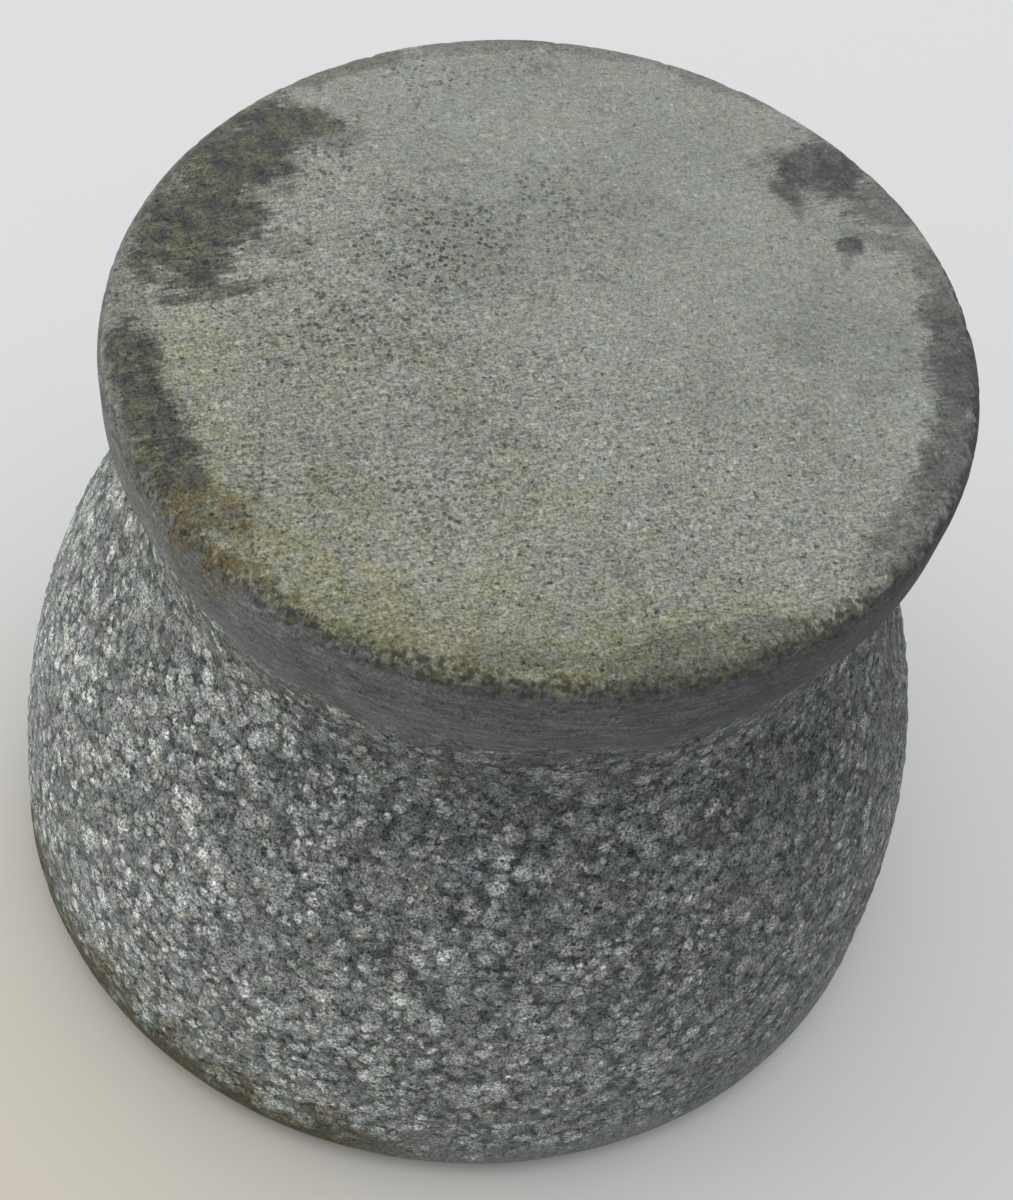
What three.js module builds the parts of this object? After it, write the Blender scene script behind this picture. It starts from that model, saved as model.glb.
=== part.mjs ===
// Granite mortar and pestle.
// The mortar stands upside down on its lip, foot on top. The pestle lies under it on the same surface.
// Millimetres, +Z up. The origin is on that surface, in the middle of the lip.
import * as THREE from 'three';

// Mortar, outside
const HEIGHT = 122.5;             // lip to foot
const FOOT_RADIUS = 65;
const FOOT_EDGE = 4;              // rounding between the foot's face and its side
const FOOT_BAND = 10;             // height of the foot's nearly straight side
const FOOT_TAPER = 0.4;           // how much the radius drops over that height
const WAIST_RADIUS = 58.5;
const WAIST_Z = 88;
const BELLY_RADIUS = 78;
const BELLY_Z = 14;               // below this the belly is upright
const LIP_EDGE = 6.7;             // rounding between the belly and the lip's face

// Handles of the mortar's two swells: how far each end keeps its upright direction
const BELLY_SWELL = 44;
const WAIST_SWELL = 10;
const COVE_SWELL = 12;
const BAND_SWELL = 4;

// Mortar, inside
const MOUTH_EDGE = 3;             // rounding between the lip's face and the bowl
const BOWL_RADIUS = 60;
const BOWL_DEPTH = 88;

// The foot is ground by hand, so it is a little oval and off centre. The drift grows from here up.
const DRIFT_START_Z = 55;
const FOOT_SHIFT_X = 2;
const FOOT_SHIFT_Y = -1;
const FOOT_OVALITY = 0.022;       // radius gained along the long axis, and lost across it
const FOOT_OVAL_ANGLE = THREE.MathUtils.degToRad(79);

// Pestle, measured along its axis from the grinding head
const PESTLE_LENGTH = 110;
const HEAD_RADIUS = 22;
const HEAD_CROWN = 15;            // depth of the rounded grinding face
const HEAD_BAND = 12;             // straight stretch behind the crown
const GRIP_RADIUS = 14.5;
const GRIP_AT = 71;
const KNOB_RADIUS = 17;
const KNOB_CROWN = 13;            // depth of the rounded end
const HEAD_SWELL = 18;
const NECK_SWELL = 20;
const GRIP_SWELL = 12;
const KNOB_SWELL = 10;

const MORTAR_SEGMENTS = 64;
const PESTLE_SEGMENTS = 32;
const QUARTER = Math.PI / 2;

const HAMMERED_GREY = 0x7b7f7b;
const GROUND_GREY = 0x74787a;

// A quarter of an ellipse round (x, y), from one angle to another.
const quarter = (x, y, rx, ry, from, to) => new THREE.EllipseCurve(x, y, rx, ry, from, to, to < from);

const line = (x0, y0, x1, y1) =>
  new THREE.LineCurve(new THREE.Vector2(x0, y0), new THREE.Vector2(x1, y1));

// A smooth S from one radius to another, upright at both ends.
// The pulls are the lengths of its two handles.
function swell(r0, z0, pull0, r1, z1, pull1) {
  return new THREE.CubicBezierCurve(
    new THREE.Vector2(r0, z0), new THREE.Vector2(r0, z0 + pull0),
    new THREE.Vector2(r1, z1 - pull1), new THREE.Vector2(r1, z1));
}

// Turns an outline about Z. The outline is a list of [curve, steps].
// It starts and ends on the axis, and it runs up the outside of the stone.
function turned(outline, segments) {
  const points = outline.flatMap(([curve, steps], i) => curve.getPoints(steps).slice(i ? 1 : 0));
  points[0].x = 0;
  points[points.length - 1].x = 0;
  return new THREE.LatheGeometry(points, segments).rotateX(QUARTER);
}

// Moves the upper outside of the mortar from a true circle to the hand-ground foot.
function driftFoot(geometry) {
  const position = geometry.getAttribute('position');
  for (let i = 0; i < position.count; i += 1) {
    const x = position.getX(i);
    const y = position.getY(i);
    const drift = THREE.MathUtils.smoothstep(position.getZ(i), DRIFT_START_Z, HEIGHT);
    const oval = FOOT_OVALITY * Math.cos(2 * (Math.atan2(y, x) - FOOT_OVAL_ANGLE));
    position.setX(i, x * (1 + oval * drift) + FOOT_SHIFT_X * drift);
    position.setY(i, y * (1 + oval * drift) + FOOT_SHIFT_Y * drift);
  }
  geometry.computeVertexNormals();
  return geometry;
}

function mortarGeometry() {
  const mouth = BOWL_RADIUS + MOUTH_EDGE;
  const lip = BELLY_RADIUS - LIP_EDGE;
  const bandZ = HEIGHT - FOOT_BAND;
  const bandRadius = FOOT_RADIUS - FOOT_TAPER;
  const rimZ = HEIGHT - FOOT_EDGE;
  const face = FOOT_RADIUS - FOOT_EDGE;
  return driftFoot(turned([
    [quarter(0, MOUTH_EDGE, BOWL_RADIUS, BOWL_DEPTH - MOUTH_EDGE, QUARTER, 0), 12],
    [quarter(mouth, MOUTH_EDGE, MOUTH_EDGE, MOUTH_EDGE, 2 * QUARTER, 3 * QUARTER), 3],
    [line(mouth, 0, lip, 0), 1],
    [quarter(lip, LIP_EDGE, LIP_EDGE, LIP_EDGE, -QUARTER, 0), 4],
    [line(BELLY_RADIUS, LIP_EDGE, BELLY_RADIUS, BELLY_Z), 1],
    [swell(BELLY_RADIUS, BELLY_Z, BELLY_SWELL, WAIST_RADIUS, WAIST_Z, WAIST_SWELL), 10],
    [swell(WAIST_RADIUS, WAIST_Z, COVE_SWELL, bandRadius, bandZ, BAND_SWELL), 6],
    [line(bandRadius, bandZ, FOOT_RADIUS, rimZ), 1],
    [quarter(face, rimZ, FOOT_EDGE, FOOT_EDGE, 0, QUARTER), 4],
    [line(face, HEIGHT, 0, HEIGHT), 1],
  ], MORTAR_SEGMENTS));
}

function pestleGeometry() {
  const headEnd = HEAD_CROWN + HEAD_BAND;
  const knobStart = PESTLE_LENGTH - KNOB_CROWN;
  return turned([
    [quarter(0, HEAD_CROWN, HEAD_RADIUS, HEAD_CROWN, -QUARTER, 0), 6],
    [line(HEAD_RADIUS, HEAD_CROWN, HEAD_RADIUS, headEnd), 1],
    [swell(HEAD_RADIUS, headEnd, HEAD_SWELL, GRIP_RADIUS, GRIP_AT, NECK_SWELL), 7],
    [swell(GRIP_RADIUS, GRIP_AT, GRIP_SWELL, KNOB_RADIUS, knobStart, KNOB_SWELL), 4],
    [quarter(0, knobStart, KNOB_RADIUS, KNOB_CROWN, 0, QUARTER), 6],
  ], PESTLE_SEGMENTS);
}

// Lays the pestle along X, head to the left.
// It rests on its head and on its knob, so its axis leans a little.
function layDown(geometry) {
  const between = PESTLE_LENGTH - KNOB_CROWN - HEAD_CROWN - HEAD_BAND;
  const lean = Math.atan2(HEAD_RADIUS - KNOB_RADIUS, between);
  geometry.rotateY(QUARTER + lean);
  geometry.computeBoundingBox();
  const { min, max } = geometry.boundingBox;
  return geometry.translate(-(min.x + max.x) / 2, 0, -min.z);
}

function stone(name, geometry, colour, roughness) {
  const material = new THREE.MeshStandardMaterial({ color: colour, roughness, metalness: 0 });
  const mesh = new THREE.Mesh(geometry, material);
  mesh.name = name;
  return mesh;
}

const mortarAndPestle = new THREE.Group();
mortarAndPestle.add(stone('mortar', mortarGeometry(), HAMMERED_GREY, 0.82));
mortarAndPestle.add(stone('pestle', layDown(pestleGeometry()), GROUND_GREY, 0.7));

export default mortarAndPestle;
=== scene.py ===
"""Granite mortar and pestle: the mortar stands upside down on its lip, with the pestle lying under it.

Lengths are in metres in the scene. The outlines and the sizes of marks, clouds and stains are in millimetres.
The outlines repeat the ones of the CAD part, so that the stones keep its shape and size.
"""

import math

import bpy
import numpy as np
from mathutils import Matrix, Vector


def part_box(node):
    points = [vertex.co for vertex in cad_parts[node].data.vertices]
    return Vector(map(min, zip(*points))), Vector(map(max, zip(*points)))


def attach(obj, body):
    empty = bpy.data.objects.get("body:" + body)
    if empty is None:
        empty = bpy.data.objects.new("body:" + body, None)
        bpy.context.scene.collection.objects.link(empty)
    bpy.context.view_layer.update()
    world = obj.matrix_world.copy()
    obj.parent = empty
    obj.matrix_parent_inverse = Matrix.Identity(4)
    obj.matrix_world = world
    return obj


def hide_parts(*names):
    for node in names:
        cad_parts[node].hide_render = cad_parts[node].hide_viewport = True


MM = 0.001

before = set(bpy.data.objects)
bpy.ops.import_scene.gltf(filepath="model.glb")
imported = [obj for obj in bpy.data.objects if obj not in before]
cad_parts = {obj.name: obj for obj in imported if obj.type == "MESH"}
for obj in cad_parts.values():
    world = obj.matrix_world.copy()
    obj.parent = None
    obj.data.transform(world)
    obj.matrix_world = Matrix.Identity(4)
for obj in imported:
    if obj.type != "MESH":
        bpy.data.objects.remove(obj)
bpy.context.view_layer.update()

# ---------------------------------------------------------------- outlines

HEIGHT = 122.5
FOOT_RADIUS, FOOT_EDGE, FOOT_BAND, FOOT_TAPER = 65, 4, 10, 0.4
WAIST_RADIUS, WAIST_Z = 58.5, 88
BELLY_RADIUS, BELLY_Z = 78, 14
LIP_EDGE, MOUTH_EDGE = 6.7, 3
BELLY_SWELL, WAIST_SWELL, COVE_SWELL, BAND_SWELL = 44, 10, 12, 4
BOWL_RADIUS, BOWL_DEPTH = 60, 88

DRIFT_START_Z = 55                    # the foot's oval and its shift grow from here up
FOOT_SHIFT = (2, -1)
FOOT_OVALITY, FOOT_OVAL_ANGLE = 0.022, math.radians(79)

PESTLE_LENGTH = 110
HEAD_RADIUS, HEAD_CROWN, HEAD_BAND = 22, 15, 12
GRIP_RADIUS, GRIP_AT = 14.5, 71
KNOB_RADIUS, KNOB_CROWN = 17, 13
HEAD_SWELL, NECK_SWELL, GRIP_SWELL, KNOB_SWELL = 18, 20, 12, 10


def quarter(x, z, rx, rz, start, end, steps):
    """A quarter of an ellipse round (x, z), between two angles in quarter turns."""
    a = np.linspace(start, end, steps + 1) * math.pi / 2
    return np.column_stack([x + rx * np.cos(a), z + rz * np.sin(a)])


def straight(x0, z0, x1, z1, steps):
    return np.linspace((x0, z0), (x1, z1), steps + 1)


def swell(x0, z0, pull0, x1, z1, pull1, steps):
    """A smooth S from one radius to another, upright at both ends."""
    t = np.linspace(0, 1, steps + 1)[:, None]
    p = np.array([(x0, z0), (x0, z0 + pull0), (x1, z1 - pull1), (x1, z1)], float)
    u = 1 - t
    return u**3 * p[0] + 3 * u * u * t * p[1] + 3 * u * t * t * p[2] + t**3 * p[3]


def joined(*curves):
    return np.vstack([curves[0]] + [c[1:] for c in curves[1:]])


def length(curve):
    return float(np.linalg.norm(np.diff(curve, axis=0), axis=1).sum())


# The last number of each curve below is its number of steps.

def mortar_curves():
    """From the middle of the bowl, over the lip and up the outside, to the middle of the foot, by name."""
    mouth, lip = BOWL_RADIUS + MOUTH_EDGE, BELLY_RADIUS - LIP_EDGE
    band_z, band_radius = HEIGHT - FOOT_BAND, FOOT_RADIUS - FOOT_TAPER
    rim_z, face = HEIGHT - FOOT_EDGE, FOOT_RADIUS - FOOT_EDGE
    return {
        "bowl": quarter(0, MOUTH_EDGE, BOWL_RADIUS, BOWL_DEPTH - MOUTH_EDGE, 1, 0, 30),
        "mouth": quarter(mouth, MOUTH_EDGE, MOUTH_EDGE, MOUTH_EDGE, 2, 3, 4),
        "lip_face": straight(mouth, 0, lip, 0, 3),
        "lip": quarter(lip, LIP_EDGE, LIP_EDGE, LIP_EDGE, -1, 0, 9),
        "upright": straight(BELLY_RADIUS, LIP_EDGE, BELLY_RADIUS, BELLY_Z, 8),
        "belly": swell(BELLY_RADIUS, BELLY_Z, BELLY_SWELL, WAIST_RADIUS, WAIST_Z, WAIST_SWELL, 78),
        "cove": swell(WAIST_RADIUS, WAIST_Z, COVE_SWELL, band_radius, band_z, BAND_SWELL, 24),
        "band": straight(band_radius, band_z, FOOT_RADIUS, rim_z, 5),
        "rim": quarter(face, rim_z, FOOT_EDGE, FOOT_EDGE, 0, 1, 6),
        "foot": straight(face, HEIGHT, 0, HEIGHT, 18),
    }


def pestle_outline():
    """From the middle of the grinding head to the middle of the knob."""
    head_end, knob_start = HEAD_CROWN + HEAD_BAND, PESTLE_LENGTH - KNOB_CROWN
    return joined(
        quarter(0, HEAD_CROWN, HEAD_RADIUS, HEAD_CROWN, -1, 0, 28),
        straight(HEAD_RADIUS, HEAD_CROWN, HEAD_RADIUS, head_end, 13),
        swell(HEAD_RADIUS, head_end, HEAD_SWELL, GRIP_RADIUS, GRIP_AT, NECK_SWELL, 46),
        swell(GRIP_RADIUS, GRIP_AT, GRIP_SWELL, KNOB_RADIUS, knob_start, KNOB_SWELL, 28),
        quarter(0, knob_start, KNOB_RADIUS, KNOB_CROWN, 0, 1, 22),
    )


# ---------------------------------------------------------------- meshes

def turned(name, outline, segments):
    """A closed stone, turned about Z from an outline in mm that starts and ends on the axis.

    Every vertex keeps its "station": how far along the outline it lies, in mm."""
    station = np.concatenate([[0], np.cumsum(np.linalg.norm(np.diff(outline, axis=0), axis=1))])
    angle = np.arange(segments) * 2 * math.pi / segments
    radius, height = outline[1:-1, 0], outline[1:-1, 1]
    rings = np.stack([
        radius[:, None] * np.cos(angle), radius[:, None] * np.sin(angle),
        np.repeat(height[:, None], segments, 1)], axis=-1).reshape(-1, 3)
    points = np.vstack([rings, (0, 0, outline[0, 1]), (0, 0, outline[-1, 1])])
    stations = np.concatenate([np.repeat(station[1:-1], segments), [station[0], station[-1]]])

    here = np.arange(segments)
    beside = np.roll(here, -1)
    starts = np.arange(len(radius) - 1)[:, None] * segments
    quads = np.stack([here + starts, beside + starts, beside + starts + segments,
                      here + starts + segments], axis=-1).reshape(-1, 4)
    first, last = len(points) - 2, len(points) - 1
    top = (len(radius) - 1) * segments
    caps = [(first, b, a) for a, b in zip(here, beside)]
    caps += [(last, a + top, b + top) for a, b in zip(here, beside)]

    mesh = bpy.data.meshes.new(name)
    mesh.from_pydata((points * MM).tolist(), [], quads.tolist() + caps)
    mesh.attributes.new("station", "FLOAT", "POINT").data.foreach_set("value", stations)
    mesh.shade_smooth()
    obj = bpy.data.objects.new(name, mesh)
    bpy.context.scene.collection.objects.link(obj)
    return obj


def points_of(mesh):
    flat = np.empty(len(mesh.vertices) * 3)
    mesh.vertices.foreach_get("co", flat)
    return flat.reshape(-1, 3)


def set_points(mesh, points):
    mesh.vertices.foreach_set("co", points.ravel())
    mesh.update()


def drift_foot(mesh):
    """Moves the upper outside of the mortar from a true circle to the hand-ground foot."""
    p = points_of(mesh)
    t = np.clip((p[:, 2] / MM - DRIFT_START_Z) / (HEIGHT - DRIFT_START_Z), 0, 1)
    drift = t * t * (3 - 2 * t)
    oval = 1 + drift * FOOT_OVALITY * np.cos(2 * (np.arctan2(p[:, 1], p[:, 0]) - FOOT_OVAL_ANGLE))
    p[:, 0] = p[:, 0] * oval + FOOT_SHIFT[0] * MM * drift
    p[:, 1] = p[:, 1] * oval + FOOT_SHIFT[1] * MM * drift
    set_points(mesh, p)


def lay_down(mesh):
    """Lays the pestle along X, head to the left, resting on its head and on its knob."""
    between = PESTLE_LENGTH - KNOB_CROWN - HEAD_CROWN - HEAD_BAND
    lean = math.atan2(HEAD_RADIUS - KNOB_RADIUS, between)
    mesh.transform(Matrix.Rotation(math.pi / 2 + lean, 4, "Y"))
    lo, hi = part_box("pestle")
    p = points_of(mesh)
    middle = (p.max(axis=0) + p.min(axis=0)) / 2
    mesh.transform(Matrix.Translation(((lo.x + hi.x) / 2 - middle[0], 0, -p[:, 2].min())))


def carve(obj, relief):
    """Pushes the surface in by the relief and keeps the result.

    The relief is a function that wires the depth in metres from the place and the station."""
    tree = bpy.data.node_groups.new(obj.name + "_relief", "GeometryNodeTree")
    tree.interface.new_socket("Geometry", in_out="INPUT", socket_type="NodeSocketGeometry")
    tree.interface.new_socket("Geometry", in_out="OUTPUT", socket_type="NodeSocketGeometry")
    w = Wiring(tree)
    place = w.add("GeometryNodeInputPosition").outputs[0]
    station = w.add("GeometryNodeInputNamedAttribute", data_type="FLOAT")
    station.inputs["Name"].default_value = "station"
    depth = relief(w, place, station.outputs[0])
    normal = w.add("GeometryNodeInputNormal").outputs[0]
    moved = w.add("GeometryNodeSetPosition")
    w.put(w.add("NodeGroupInput").outputs[0], moved.inputs["Geometry"])
    w.put(w.scale(normal, w.math("MULTIPLY", depth, -1)), moved.inputs["Offset"])
    w.put(moved.outputs[0], w.add("NodeGroupOutput").inputs[0])

    modifier = obj.modifiers.new("relief", "NODES")
    modifier.node_group = tree
    graph = bpy.context.evaluated_depsgraph_get()
    carved = bpy.data.meshes.new_from_object(
        obj.evaluated_get(graph), preserve_all_data_layers=True, depsgraph=graph)
    obj.modifiers.clear()
    plain, obj.data = obj.data, carved
    carved.name = obj.name
    bpy.data.meshes.remove(plain)
    carved.shade_smooth()


# ---------------------------------------------------------------- wiring of node trees

class Wiring:
    """Short names for adding and joining the nodes of one tree. Geometry and shader trees share these nodes.

    A value is a number, a tuple or a socket. The sizes of noise and cells are in mm."""

    def __init__(self, tree):
        self.tree = tree

    def add(self, kind, **settings):
        node = self.tree.nodes.new(kind)
        for key, value in settings.items():
            setattr(node, key, value)
        return node

    def put(self, value, socket):
        """Links a socket, or sets a constant."""
        if isinstance(value, bpy.types.NodeSocket):
            self.tree.links.new(value, socket)
        elif hasattr(socket.default_value, "__len__") and not hasattr(value, "__len__"):
            socket.default_value = (value,) * 3
        elif socket.type == "RGBA" and len(value) == 3:
            socket.default_value = (*value, 1)
        else:
            socket.default_value = value

    def math(self, operation, a, b=0.5):
        node = self.add("ShaderNodeMath", operation=operation)
        self.put(a, node.inputs[0])
        self.put(b, node.inputs[1])
        return node.outputs[0]

    def chained(self, operation, first, *others):
        """One operation, applied to all the values in turn."""
        for other in others:
            first = self.math(operation, first, other)
        return first

    def product(self, *values):
        return self.chained("MULTIPLY", *values)

    def sum(self, *values):
        return self.chained("ADD", *values)

    def largest(self, *values):
        return self.chained("MAXIMUM", *values)

    def vector(self, operation, a, b):
        node = self.add("ShaderNodeVectorMath", operation=operation)
        self.put(a, node.inputs[0])
        self.put(b, node.inputs[1])
        return node.outputs["Value" if operation in ("DOT_PRODUCT", "DISTANCE") else "Vector"]

    def scale(self, a, factor):
        node = self.add("ShaderNodeVectorMath", operation="SCALE")
        self.put(a, node.inputs[0])
        self.put(factor, node.inputs["Scale"])
        return node.outputs[0]

    def part(self, vector, index):
        """One of the three numbers in a vector or a colour."""
        node = self.add("ShaderNodeSeparateXYZ")
        self.put(vector, node.inputs[0])
        return node.outputs[index]

    def distance(self, place, x, y, z):
        """How far the place is from a point given in mm."""
        return self.vector("DISTANCE", place, (x * MM, y * MM, z * MM))

    def step(self, value, start, end, low=0.0, high=1.0):
        """A soft step: low at start, high at end."""
        node = self.add("ShaderNodeMapRange", interpolation_type="SMOOTHSTEP")
        for v, socket in zip((value, start, end, low, high), node.inputs):
            self.put(v, socket)
        return node.outputs[0]

    def fade(self, place, direction, start, end, low=0.0, high=1.0):
        """A soft step along a direction, between two distances from the origin in mm."""
        return self.step(self.vector("DOT_PRODUCT", place, direction), start * MM, end * MM, low, high)

    def noise(self, place, size, detail=2.0, roughness=0.5, out="Fac"):
        """Cloudy noise with lumps of that size."""
        node = self.add("ShaderNodeTexNoise")
        self.put(place, node.inputs["Vector"])
        self.put(1 / (size * MM), node.inputs["Scale"])
        self.put(detail, node.inputs["Detail"])
        self.put(roughness, node.inputs["Roughness"])
        return node.outputs[out]

    def clouds(self, place, size, start, end, low=0.0, high=1.0, detail=2.0, roughness=0.5):
        """A soft step over cloudy noise."""
        return self.step(self.noise(place, size, detail, roughness), start, end, low, high)

    def cells(self, place, size):
        """Random cells of that size: the distance from the cell's middle, and its random colour."""
        node = self.add("ShaderNodeTexVoronoi")
        self.put(place, node.inputs["Vector"])
        self.put(1 / (size * MM), node.inputs["Scale"])
        return node.outputs["Distance"], node.outputs["Color"]

    def wander(self, place, size, amount):
        """The place, pushed about by noise, by up to that amount in mm."""
        push = self.vector("SUBTRACT", self.noise(place, size, out="Color"), (0.5,) * 3)
        return self.vector("ADD", place, self.scale(push, amount * MM * 2))

    def blend(self, amount, a, b, how="MIX"):
        node = self.add("ShaderNodeMix", data_type="RGBA", blend_type=how, clamp_factor=True)
        # a Mix node has sockets for every type of value: 6 and 7 take its two colours, and 2 gives the result
        for value, index in ((amount, 0), (a, 6), (b, 7)):
            self.put(value, node.inputs[index])
        return node.outputs[2]

    def shaded(self, colour, shade):
        """The colour, multiplied by a shade or by another colour."""
        return self.blend(1.0, colour, shade, "MULTIPLY")

    def tinted(self, amount, colour, tint):
        """The colour, multiplied by a tint where the amount is 1."""
        return self.blend(amount, colour, self.shaded(colour, tint))


RIGHT, UP, FRONT = (1, 0, 0), (0, 0, 1), (0, -1, 0)
FRONT_LEFT = (-0.62, -0.78, 0)


# ---------------------------------------------------------------- relief

# how deep each kind of relief goes, in mm
GAP_DEPTH, UNEVEN_DEPTH, CHIP_DEPTH = 0.40, 0.55, 0.4
PESTLE_GAP_DEPTH, PESTLE_UNEVEN_DEPTH = 0.3, 0.3

BROAD_MARK, SMALL_MARK = 2.9, 1.75    # how wide the hammer marks are, in mm


def ends_of(curves):
    """How far along the whole outline each named curve ends, in mm."""
    return dict(zip(curves, np.cumsum([length(c) for c in curves.values()]).tolist()))


ENDS = ends_of(mortar_curves())


def pecked_area(w, place, station):
    """1 where the mortar is hammered, fading to 0 at the lip and on the honed band below the foot."""
    at = w.sum(station, w.clouds(place, 7, 0.3, 0.7, -4.0, 4.0))
    above_lip = w.step(at, ENDS["lip"] - 1, ENDS["lip"] + 8)
    below_band = w.step(at, ENDS["belly"] + 21, ENDS["belly"] + 6)
    return w.product(above_lip, below_band)


def dabs(w, spot, size, faintest):
    """Round marks of that size, each with its own reach and strength: 1 in the middle, 0 between them."""
    away, colour = w.cells(spot, size)
    reach = w.step(w.part(colour, 1), 0.0, 1.0, 0.52, 0.86)
    mark = w.step(away, reach, w.product(reach, 0.42))
    return w.product(mark, w.step(w.part(colour, 0), 0.0, 1.0, faintest, 1.0))


def hammer_marks(w, place):
    """Close-set marks of a pointed hammer, 0 to 1: broad ones in patches, small ones between them."""
    spot = w.wander(place, 1.1, 0.42)
    patch = w.clouds(place, 11, 0.38, 0.60, detail=1.0)
    broad = w.product(dabs(w, spot, BROAD_MARK, 0.15), w.step(patch, 0, 1, 0.35, 1.0))
    small = w.product(dabs(w, spot, SMALL_MARK, 0.05), w.step(patch, 0, 1, 1.0, 0.55))
    return w.largest(broad, small)


def gaps_between_marks(w, place):
    return w.math("SUBTRACT", 1.0, hammer_marks(w, place))


def rim_chips(w, place, station):
    """Small chips along the foot's edge, 0 to 1."""
    near = w.product(w.step(station, ENDS["band"] - 1, ENDS["band"] + 3),
                     w.step(station, ENDS["rim"] + 1.5, ENDS["rim"] - 1.5))
    return w.product(w.clouds(place, 2.6, 0.50, 0.72), near)


def mortar_relief(w, place, station):
    """Depth of the stone's skin below the CAD surface. The bowl stays smooth."""
    outside = w.step(station, ENDS["lip_face"], ENDS["lip"])
    gaps = w.product(gaps_between_marks(w, place), pecked_area(w, place, station), GAP_DEPTH * MM)
    uneven = w.product(w.noise(place, 26, detail=1.0), outside, UNEVEN_DEPTH * MM)
    chips = w.product(rim_chips(w, place, station), CHIP_DEPTH * MM)
    return w.sum(gaps, chips, uneven)


# where the hammered grip begins and ends, in mm along the pestle's outline
GRIP_FADES_IN, GRIP_FADES_OUT = (40.0, 50.0), (112.0, 102.0)


def grip_area(w, place, station):
    """1 on the hammered grip of the pestle, 0 on its ground ends."""
    at = w.sum(station, w.clouds(place, 7, 0.3, 0.7, -3.0, 3.0))
    return w.product(w.step(at, *GRIP_FADES_IN), w.step(at, *GRIP_FADES_OUT))


def pestle_relief(w, place, station):
    """Depth of the pestle's skin below the CAD surface."""
    gaps = w.product(gaps_between_marks(w, place), grip_area(w, place, station), PESTLE_GAP_DEPTH * MM)
    uneven = w.product(w.noise(place, 14, detail=1.0), PESTLE_UNEVEN_DEPTH * MM)
    return w.sum(gaps, uneven)


# ---------------------------------------------------------------- the two stones

MORTAR_SEGMENTS, PESTLE_SEGMENTS = 520, 200


def build_mortar():
    obj = turned("mortar_stone", joined(*mortar_curves().values()), MORTAR_SEGMENTS)
    drift_foot(obj.data)
    carve(obj, mortar_relief)
    obj.data.materials.append(mortar_material())
    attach(obj, "mortar")
    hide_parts("mortar")


def build_pestle():
    obj = turned("pestle_stone", pestle_outline(), PESTLE_SEGMENTS)
    lay_down(obj.data)
    carve(obj, pestle_relief)
    obj.data.materials.append(pestle_material())
    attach(obj, "pestle")
    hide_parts("pestle")


# ---------------------------------------------------------------- materials: the stone itself

def new_material(name):
    """A material with its wiring, its shader and the place on the object."""
    material = bpy.data.materials.new(name)
    material.use_nodes = True
    w = Wiring(material.node_tree)
    shader = material.node_tree.nodes["Principled BSDF"]
    place = w.add("ShaderNodeTexCoord").outputs["Object"]
    return material, w, shader, place


def station_of(w):
    return w.add("ShaderNodeAttribute", attribute_name="station").outputs["Fac"]


def set_surface(w, shader, colour, roughness, specular):
    w.put(colour, shader.inputs["Base Color"])
    w.put(roughness, shader.inputs["Roughness"])
    w.put(specular, shader.inputs["Specular IOR Level"])


def set_bump(w, shader, height, depth):
    """Shades the surface as if it had this relief as well, up to that depth in mm."""
    bump = w.add("ShaderNodeBump")
    w.put(1.0, bump.inputs["Strength"])
    w.put(depth * MM, bump.inputs["Distance"])
    w.put(height, bump.inputs["Height"])
    w.put(bump.outputs[0], shader.inputs["Normal"])


def grain(w, place, contrast=1.0):
    """Brightness of the fine crystals, about 1 on average."""
    fine = w.math("SUBTRACT", w.noise(place, 0.36, detail=1.0), 0.5)
    coarse = w.math("SUBTRACT", w.noise(place, 0.85, detail=1.0), 0.5)
    cloud = w.sum(w.product(fine, 1.7), w.product(coarse, 0.55))
    _, colour = w.cells(w.wander(place, 0.7, 0.2), 0.62)
    pepper = w.step(w.part(colour, 0), 0.10, 0.0, 0.0, -0.35)
    salt = w.step(w.part(colour, 1), 0.88, 1.0, 0.0, 0.35)
    change = w.sum(cloud, w.sum(pepper, salt))
    darkest = 0.2
    return w.largest(w.sum(1.0, w.product(change, contrast)), darkest)


def clouded(w, place, colour, size, one, other):
    """The colour, tinted by one hue in some clouds of that size and by the other hue between them."""
    pick = w.clouds(place, size, 0.36, 0.64)
    return w.shaded(colour, w.blend(pick, one, other))


def tint(hue, red, green, blue):
    """A tint of that strength, from what it adds to red, green and blue."""
    return 1 + red * hue, 1 + green * hue, 1 + blue * hue


def stone(w, place, colour, hue=1.0):
    """Granite of that mean colour, clouded with olive, violet grey, brown and blue green."""
    olive, violet = tint(hue, 0.02, 0.012, -0.075), tint(hue, -0.01, -0.01, 0.03)
    brown, green = tint(hue, 0.02, -0.01, -0.01), tint(hue, -0.03, 0, 0.01)
    colour = clouded(w, place, colour, 2.3, olive, violet)
    elsewhere = w.vector("ADD", place, (0.03, 0.05, 0.02))
    return clouded(w, elsewhere, colour, 7, brown, green)


# ---------------------------------------------------------------- materials: the foot's face

FOOT_GREY = (0.285, 0.293, 0.268)
PEPPER = (0.060, 0.064, 0.066)
OLIVE_TINT = (0.96, 0.94, 0.74)
SOIL_TINT = (0.76, 0.73, 0.54)
STAIN_DARK = (0.050, 0.052, 0.053)
STAIN_GREY = (0.104, 0.109, 0.104)
STAIN_OLIVE = (0.106, 0.106, 0.072)

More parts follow.
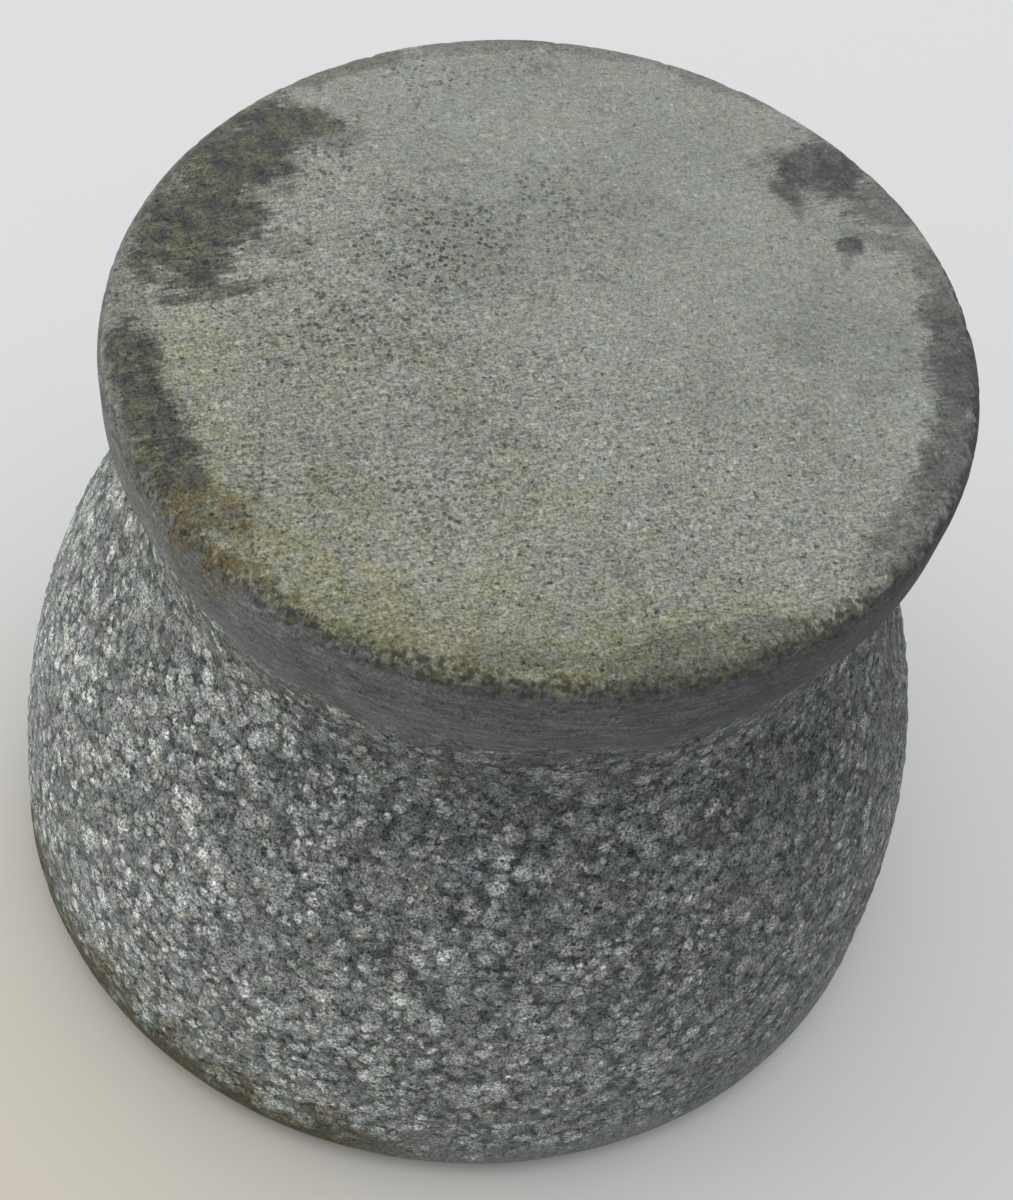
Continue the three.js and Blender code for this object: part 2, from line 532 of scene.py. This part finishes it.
# dark stains: middle, half-lengths, turn and strength, in mm and degrees
STAINS = [
    (-51.5, 5, 8.5, 13, -8, 1.0),
    (-48, 21, 8, 13, -24, 1.0),
    (-42, 31, 8, 4.5, 30, 0.95),
    (-35, 30, 6, 3, 20, 0.45),
    (-54, 25, 5.5, 14, -30, 0.9),
    (-57.5, 8, 4, 12, -6, 0.8),
    (-47, -8, 9, 1.2, 26, 0.85),
    (-41, -4, 6, 1.0, 26, 0.6),
    (-39.5, 4, 5, 3, 26, 0.35),
    (-56, -12, 3, 8, 5, 0.35),
    (-54, -22, 4, 6.5, 20, 1.0),
    (-49.5, -31, 4, 9.5, 28, 1.0),
    (-43, -40, 3.4, 7, 34, 1.0),
    (-37, -47, 2.4, 5, 52, 0.55),
    (-58, -8, 2, 22, 4, 0.4),
    (-37, 47.5, 3.2, 12, -55, 0.55),
    (-18, 58, 2.2, 12, -72, 0.40),
    (0, 62.5, 2.2, 12, -90, 0.36),
    (18, 60, 2.0, 11, -108, 0.34),
    (40.5, 41.5, 8.5, 7, 20, 0.95),
    (50, 38, 7, 6, -40, 0.62),
    (34.5, 36.5, 3.2, 2.2, 0, 0.85),
    (36.5, 32, 1.0, 3.5, 10, 0.4),
    (44.8, 25.5, 2.1, 1.7, 20, 0.95),
    (44.5, 22.5, 0.8, 2, 0, 0.4),
    (52.5, 27.5, 8, 1.8, -8, 0.45),
    (57.5, 24, 4, 5, 18, 0.55),
    (60, 14, 4.2, 9, 16, 0.75),
    (61.5, 2, 4.6, 12, 0, 0.9),
    (60, -14, 4.0, 12, -14, 0.8),
    (54.5, -29, 3.0, 12, -32, 0.55),
    (28, -55.5, 16, 3.2, 25, 0.55),
    (8, -61.5, 10, 2.0, 8, 0.35),
]

# broad faint smudges: middle and reach in mm, and strength
SMUDGES = [
    (-17, 11, 20, 1.0),
    (-24, -9, 12, 0.8),
    (3, 19, 23, 0.8),
    (24, -8, 16, 0.5),
    (-4, -25, 13, 0.6),
    (-25, -41, 14, 0.8),
    (45, 7, 18, 0.9),
]


def scratched(w, place):
    """Short grinding scratches across the foot, 0 to 1."""
    turn = math.radians(27)
    c, s = math.cos(turn), math.sin(turn)
    pace = 0.14                       # how fast the noise changes along the scratches, against across them
    along = w.vector("DOT_PRODUCT", place, (c, s, 0))
    across = w.vector("DOT_PRODUCT", place, (-s, c, 0))
    node = w.add("ShaderNodeCombineXYZ")
    w.put(w.product(along, pace), node.inputs[0])
    w.put(across, node.inputs[1])
    return w.noise(node.outputs[0], 0.5)


def stain(w, place, ragged):
    """How dark the stains are at a place, 0 to 1. Their edges are soft and ragged."""
    total = None
    for x, y, long_x, long_y, turn, strength in STAINS:
        c, s = math.cos(math.radians(turn)), math.sin(math.radians(turn))
        away = w.vector("SUBTRACT", place, (x * MM, y * MM, HEIGHT * MM))
        u = w.vector("DOT_PRODUCT", away, (c / (long_x * MM), s / (long_x * MM), 0))
        v = w.vector("DOT_PRODUCT", away, (-s / (long_y * MM), c / (long_y * MM), 0))
        reach = w.math("SQRT", w.sum(w.product(u, u), w.product(v, v)))
        inside = w.step(w.sum(reach, ragged), 1.4, 0.7, 0.0, strength)
        total = inside if total is None else w.largest(total, inside)
    return total


def smudge(w, place):
    """How smudged the foot is, 0 to 1."""
    core = 0.15                       # the full strength holds over this share of the reach
    ragged = w.clouds(place, 8, 0.3, 0.7, -5 * MM, 5 * MM, detail=3.0)
    total = None
    for x, y, reach, strength in SMUDGES:
        away = w.sum(w.distance(place, x, y, HEIGHT), ragged)
        inside = w.step(away, reach * MM, reach * core * MM, 0.0, strength)
        total = inside if total is None else w.largest(total, inside)
    return total


def pepper_dots(w, place):
    """Dark dots on the foot, 0 to 1: thick in the smudges and in a few clouds, few on the right."""
    thick = w.clouds(place, 20, 0.50, 0.66, 0.12, 0.8)
    thick = w.largest(thick, smudge(w, place))
    away, colour = w.cells(w.wander(place, 0.6, 0.45), 0.85)
    dots = w.product(w.step(away, 0.56, 0.38), w.step(w.part(colour, 0), 0.46, 0.28))
    return w.product(thick, dots, w.fade(place, RIGHT, 28, -12, 0.2, 1.0))


def olive_patches(w, place):
    """How olive the foot is, 0 to 1: in small patches, mostly towards the front left."""
    toward = w.fade(place, (-0.45, -0.89, 0), -30, 60, 0.1, 1.0)
    broad = w.clouds(place, 9, 0.36, 0.64, 0.35, 1.0)
    return w.product(toward, broad, w.clouds(place, 2.2, 0.38, 0.62, 0.4, 1.0))


def soiled(w, place, station):
    """How soiled the foot is, 0 to 1: in lumps along its front edge."""
    front = w.fade(place, (-0.25, -0.97, 0), 24, 52)
    return w.product(w.step(station, ENDS["rim"] + 15, ENDS["rim"] - 3), front,
                     w.clouds(place, 3, 0.30, 0.62, 0.35, 1.0, detail=3.0))


def foot_grain_and_painted_sheen(w, place, streaks):
    """Brightness of the foot: its grain and scratches, smoother and lighter towards the back right under a
    painted sheen, and darker in the smudges.
    """
    # painted sheen: lighter towards the back right, with fainter grain and scratches there
    painted_sheen = w.fade(place, (0.45, 0.89, 0), -45, 50)
    shade = w.product(grain(w, place, w.step(painted_sheen, 0, 1, 1.35, 0.75)), w.step(painted_sheen, 0, 1, 0.97, 1.05))
    streak = w.product(w.step(streaks, 0.25, 0.75, -0.17, 0.22), w.step(painted_sheen, 0, 1, 1.0, 0.4))
    streak = w.sum(1.0, streak)
    elsewhere = w.vector("ADD", place, (0.02, 0.3, 0))
    cloud = w.clouds(elsewhere, 24, 0.34, 0.66, 0.95, 1.05, detail=3.0)
    smudged = w.step(smudge(w, place), 0, 1, 1.03, 0.88)
    left = w.fade(place, RIGHT, -20, -50, 1.0, 1.05)
    return w.product(shade, streak, cloud, smudged, left)


def stain_colour(w, place, shade):
    """The stains' own colour: dark lumps on olive to the left, and on grey to the right."""
    mottled = w.clouds(place, 3.0, 0.40, 0.60, detail=4.0, roughness=0.7)
    left = w.fade(place, RIGHT, 10, -10)
    return w.shaded(w.blend(mottled, STAIN_DARK, w.blend(left, STAIN_GREY, STAIN_OLIVE)), shade)


def foot_colour(w, place, station):
    """The ground foot: warm grey, finely speckled, with dark stains by the edge."""
    streaks = scratched(w, place)
    # the shade holds the foot's grain, scratches and smudges, and its painted sheen
    shade = foot_grain_and_painted_sheen(w, place, streaks)
    colour = stone(w, place, FOOT_GREY, hue=0.6)
    colour = w.tinted(olive_patches(w, place), colour, OLIVE_TINT)
    colour = w.tinted(soiled(w, place, station), colour, SOIL_TINT)
    colour = w.shaded(colour, shade)
    colour = w.blend(w.product(pepper_dots(w, place), 0.95), colour, PEPPER)

    lumpy = w.clouds(place, 5, 0.25, 0.75, -0.45, 0.45, detail=5.0, roughness=0.65)
    ragged = w.sum(lumpy, w.step(streaks, 0.2, 0.8, -0.16, 0.16))
    stained = stain_colour(w, place, shade)
    return w.blend(w.product(stain(w, place, ragged), 0.94), colour, stained)


# ---------------------------------------------------------------- materials: the hammered belly

BELLY_GREY = (0.131, 0.136, 0.139)
# dark green between the hammer marks, partly painted shade in the recesses
CREVICE_GREEN_AND_PAINTED_SHADE = (0.058, 0.072, 0.074)
CRUSHED_WHITE = (0.605, 0.625, 0.622)
PLUM_TINT, GREEN_TINT = (1.015, 0.99, 1.015), (0.935, 1.01, 1.0)
CREAM_TINT, BLUE_TINT = (1.02, 1.01, 0.93), (1.0, 1.0, 1.03)
WARM_TINT = (1.01, 1.0, 0.95)
# olive dirt, with painted shade and a painted warm reflection of the floor
DIRT_AND_PAINTED_SHADE_TINT = (0.66, 0.63, 0.46)


def whiteness(w, place, marks, right):
    """How white the hammer marks are, 0 to 1: speckled, patchy, and fainter on the right as painted shade."""
    specks = w.clouds(place, 0.5, 0.30, 0.68, 0.35, 1.2)
    bare = w.clouds(place, 5.5, 0.44, 0.68, 1.0, 0.5)
    elsewhere = w.vector("ADD", place, (0, 0, 0.2))
    patchy = w.clouds(elsewhere, 17, 0.38, 0.62, 1.08, 0.72)
    # fainter on the right: painted shade on the side away from the light
    return w.product(marks, specks, bare, patchy, w.step(right, 0, 1, 1.0, 0.62))


def dirt_and_painted_shade_side(w, place):
    """1 at the bottom of the belly's left front, fading out upwards and sideways. There the belly is darker
    and warmer: partly olive dirt, partly painted shade and a painted warm reflection of the floor.
    """
    side = w.fade(place, FRONT_LEFT, 56, 70)
    height = w.sum(w.part(place, 2), w.clouds(place, 6, 0.3, 0.7, -7 * MM, 7 * MM, detail=3.0))
    return w.product(side, w.step(height, 20 * MM, 7 * MM))


def belly_grain_and_painted_light(w, place):
    """Brightness of the belly: its grain, with painted light on the left, a painted shadow under the foot and
    painted shade low on the left.
    """
    # painted light on the left, painted shadow of the foot above, painted shade low on the left near the
    # floor
    left = w.fade(place, RIGHT, 65, -75, 0.88, 1.52)
    painted_foot_shadow = w.fade(place, RIGHT, 0, -58, 0.70, 0.98)
    low = w.fade(place, UP, 98, 30, painted_foot_shadow, 1.08)
    painted_shade_low_left = w.fade(place, (-0.7, 0, -1.0), 14, 44, 1.0, 0.80)
    return w.product(grain(w, place, 1.9), left, low, painted_shade_low_left)


def belly_colour(w, place):
    """The hammered skin: crushed white marks on grey, with dark crevices between them that are partly painted
    shade, all under painted light and shade.
    """
    marks = hammer_marks(w, place)
    # 1 to the right: there the white marks fade as painted shade, and the colour takes a warm tint
    right = w.fade(place, RIGHT, 10, 74)
    white = whiteness(w, place, marks, right)
    # dark crevices between the marks: darker stone, partly painted shade in the recesses
    crevice_and_painted_shade = w.product(w.step(marks, 0.3, 0.0), w.clouds(place, 1.5, 0.56, 0.40))
    colour = w.blend(white, w.blend(crevice_and_painted_shade, BELLY_GREY, CREVICE_GREEN_AND_PAINTED_SHADE), CRUSHED_WHITE)
    colour = clouded(w, place, colour, 6, PLUM_TINT, GREEN_TINT)
    elsewhere = w.vector("ADD", place, (0.02, 0, 0.04))
    colour = clouded(w, elsewhere, colour, 2.4, CREAM_TINT, BLUE_TINT)
    upper_left = w.product(w.fade(place, RIGHT, -20, -66), w.fade(place, UP, 35, 80))
    colour = w.tinted(w.sum(right, upper_left), colour, WARM_TINT)
    # darker and warmer low on the left front: olive dirt, with painted shade and a painted warm reflection of
    # the floor
    colour = w.tinted(dirt_and_painted_shade_side(w, place), colour, DIRT_AND_PAINTED_SHADE_TINT)
    return w.shaded(colour, belly_grain_and_painted_light(w, place))


# ---------------------------------------------------------------- materials: band, lip, bowl and dirt

BAND_GREY, BAND_TINT = (0.140, 0.147, 0.156), (1.02, 1.0, 0.91)
LIP_GREY, LIP_BROWN, LIP_OLIVE = (0.180, 0.186, 0.188), (0.094, 0.077, 0.042), (0.070, 0.070, 0.047)
BOWL_GREY = (0.30, 0.305, 0.29)
DIRT_DARK, DIRT_OLIVE, DIRT_BROWN = (0.040, 0.042, 0.032), (0.115, 0.110, 0.062), (0.145, 0.112, 0.058)


def band_colour(w, place):
    """The honed band below the foot: dark, with fine streaks round it, and painted light and shade that make
    it lighter on the left and darker on the right.
    """
    flattened = w.vector("MULTIPLY", place, (0.16, 0.16, 1.0))
    streaks = w.clouds(flattened, 0.6, 0.3, 0.7, 0.77, 1.28)
    # painted light and shade: lighter on the left, darker towards the right
    left = w.fade(place, RIGHT, 60, -20, 0.40, 0.96)
    left = w.sum(left, w.fade(place, RIGHT, -15, -58, 0.02, 0.42))
    patches = w.clouds(place, 9, 0.35, 0.65, 0.88, 1.10, detail=3.0)
    colour = stone(w, place, BAND_GREY, hue=0.4)
    colour = w.tinted(w.fade(place, RIGHT, -38, -60), colour, BAND_TINT)
    return w.shaded(colour, w.product(streaks, grain(w, place), left, patches))


def lip_colour(w, place):
    """The smooth edge of the lip: plain grey, with an olive brown stain along its left front that is partly a
    painted warm reflection of the floor.
    """
    colour = stone(w, place, LIP_GREY, hue=0.5)
    side = w.fade(place, FRONT_LEFT, 54, 68)
    patches = w.clouds(place, 7, 0.30, 0.50, 0.6, 1.0, detail=4.0, roughness=0.6)
    # the stain's colour: olive brown, partly a painted warm reflection of the floor
    stained = w.blend(w.clouds(place, 3, 0.4, 0.6), LIP_BROWN, LIP_OLIVE)
    colour = w.blend(w.product(side, patches), colour, stained)
    return w.shaded(colour, grain(w, place, 1.2))


def bowl_colour(w, place):
    """The inside of the bowl, ground smooth by use."""
    return w.shaded(stone(w, place, BOWL_GREY), grain(w, place, 0.9))


def edge_dirt(w, place, station, colour):
    """Adds dark olive dirt in a thin broken line along the foot's front edge."""
    front = w.fade(place, FRONT, 30, 44)
    thick = w.clouds(place, 8, 0.36, 0.58)
    foot_side = w.step(thick, 0, 1, ENDS["rim"] - 1.0, ENDS["rim"] + 1.6)
    line = w.product(w.step(station, ENDS["rim"] - 6.2, ENDS["rim"] - 4.0),
                     w.step(station, foot_side, ENDS["rim"] - 2.4))
    broken = w.clouds(place, 1.0, 0.40, 0.58, detail=3.0)
    dirt = w.blend(w.clouds(place, 0.9, 0.44, 0.62), DIRT_DARK, DIRT_OLIVE)
    return w.blend(w.product(line, front, broken, 0.9), colour, dirt)


def brown_dirt(w, place, colour):
    """Adds brown dirt at the left end of the foot's front edge."""
    away = w.distance(place, -38.5, -51, HEIGHT - 1)
    lumps = w.clouds(place, 2.2, 0.44, 0.58, detail=4.0, roughness=0.65)
    dirt = w.shaded(DIRT_BROWN, grain(w, place, 1.6))
    return w.blend(w.product(w.step(away, 12 * MM, 5 * MM), lumps, 0.85), colour, dirt)


# ---------------------------------------------------------------- materials: put together

PESTLE_GREY = (0.25, 0.255, 0.245)
FLOOR_WHITE, FLOOR_PAINTED_SHADE_GREY, FLOOR_PAINTED_WARM_SHADE = (0.83, 0.83, 0.832), (0.80, 0.80, 0.80), (0.80, 0.735, 0.63)


def mortar_material():
    """Each part of the outline has its own colour. The station tells them apart."""
    material, w, shader, place = new_material("mortar_granite")
    station = station_of(w)
    pecked = pecked_area(w, place, station)
    above_lip = w.step(station, ENDS["upright"], ENDS["belly"])
    honed = w.blend(above_lip, lip_colour(w, place), band_colour(w, place))
    colour = w.blend(pecked, honed, belly_colour(w, place))
    frayed = w.sum(station, w.clouds(place, 2, 0.3, 0.7, -1.0, 1.0))
    on_foot = w.step(frayed, ENDS["rim"] - 4.2, ENDS["rim"] - 1.8)
    colour = w.blend(on_foot, colour, foot_colour(w, place, station))
    colour = edge_dirt(w, place, station, colour)
    colour = brown_dirt(w, place, colour)
    in_bowl = w.step(station, ENDS["mouth"] + 2, ENDS["mouth"] - 3)
    colour = w.blend(in_bowl, colour, bowl_colour(w, place))
    set_surface(w, shader, colour, roughness=0.75, specular=0.25)

    fine = w.noise(place, 0.45)
    dents = w.product(hammer_marks(w, place), pecked)
    height = w.sum(w.product(fine, w.step(pecked, 0, 1, 0.15, 0.7)), dents)
    set_bump(w, shader, height, depth=0.5)
    return material


def pestle_material():
    """Ground smooth at both ends and hammered between them."""
    material, w, shader, place = new_material("pestle_granite")
    grip = grip_area(w, place, station_of(w))
    ground = w.shaded(stone(w, place, PESTLE_GREY), grain(w, place, 0.8))
    # the hammered grip takes the belly's colour, with its painted light and shade
    set_surface(w, shader, w.blend(grip, ground, belly_colour(w, place)), roughness=0.6, specular=0.3)
    fine = w.noise(place, 0.5, detail=3.0)
    set_bump(w, shader, w.product(fine, w.step(grip, 0, 1, 0.15, 0.6)), depth=0.2)
    return material


def floor_material():
    """Pale: cool white, with painted shade that makes it a little greyer to the front and right, and painted
    shade and warm lamp light that make it a little darker and warmer to the front left.
    """
    material, w, shader, place = new_material("pale_floor")
    # painted shade: a little greyer to the front and right
    toward = w.fade(place, (0.7, -0.7, 0), -120, 60)
    colour = w.blend(toward, FLOOR_WHITE, FLOOR_PAINTED_SHADE_GREY)
    # painted shade and warm lamp light: darker and warmer to the front left
    away = w.distance(place, -283, -334, 0)
    colour = w.blend(w.step(away, 440 * MM, 310 * MM), colour, FLOOR_PAINTED_WARM_SHADE)
    set_surface(w, shader, colour, roughness=0.9, specular=0.1)
    return material


# ---------------------------------------------------------------- floor, light and camera

FLOOR_REACH = 6.0
LIT_PLACE = Vector((0, 0, 0.06))      # the lamps point at the middle of the mortar

CAMERA_PLACE = Vector((0, -0.22975, 0.34257))
CAMERA_PITCH = math.radians(51.27)    # how far it looks down
CAMERA_YAW = math.radians(0.75)       # how far it looks to the right
CAMERA_ROLL = math.radians(10.23)
LENS, SENSOR = 66, 36                 # mm


def build_floor():
    r = FLOOR_REACH
    mesh = bpy.data.meshes.new("floor")
    mesh.from_pydata([(-r, -r, 0), (r, -r, 0), (r, r, 0), (-r, r, 0)], [], [(0, 1, 2, 3)])
    floor = bpy.data.objects.new("floor", mesh)
    bpy.context.scene.collection.objects.link(floor)
    mesh.materials.append(floor_material())


def add_light(name, position, size, power, colour):
    lamp = bpy.data.lights.new(name, "AREA")
    lamp.size = size
    lamp.energy = power
    lamp.color = colour
    obj = bpy.data.objects.new(name, lamp)
    obj.location = position
    obj.rotation_mode = "QUATERNION"
    obj.rotation_quaternion = (LIT_PLACE - Vector(position)).to_track_quat("-Z", "Y")
    bpy.context.scene.collection.objects.link(obj)


def build_light():
    """Soft light from all round, with a broad lamp above and a smaller one on the left."""
    world = bpy.data.worlds.new("soft_room")
    world.use_nodes = True
    sky = world.node_tree.nodes["Background"]
    sky.inputs["Color"].default_value = (0.97, 0.99, 1.0, 1)
    sky.inputs["Strength"].default_value = 0.54
    bpy.context.scene.world = world
    add_light("ceiling", (0.0, 0.3, 1.9), size=2.8, power=19, colour=(1.0, 1.0, 1.0))
    add_light("window", (-1.7, 0.1, 0.9), size=1.2, power=5, colour=(1.0, 0.995, 0.98))
    bpy.context.scene.view_settings.view_transform = "Standard"


def build_camera():
    """Looks down at the mortar from the front, rolled a little."""
    pitch, yaw, roll = CAMERA_PITCH, CAMERA_YAW, CAMERA_ROLL
    ahead = Vector((math.sin(yaw) * math.cos(pitch), math.cos(yaw) * math.cos(pitch), -math.sin(pitch)))
    level = ahead.cross(Vector((0, 0, 1))).normalized()
    upward = level.cross(ahead)
    right = level * math.cos(roll) + upward * math.sin(roll)
    up = upward * math.cos(roll) - level * math.sin(roll)
    camera = bpy.data.cameras.new("camera")
    camera.lens = LENS
    camera.sensor_width = SENSOR
    camera.clip_start, camera.clip_end = 0.01, 20
    obj = bpy.data.objects.new("camera", camera)
    pose = Matrix((right, up, -ahead)).transposed().to_4x4()
    pose.translation = CAMERA_PLACE
    obj.matrix_world = pose
    bpy.context.scene.collection.objects.link(obj)
    bpy.context.scene.camera = obj


build_mortar()
build_pestle()
build_floor()
build_light()
build_camera()
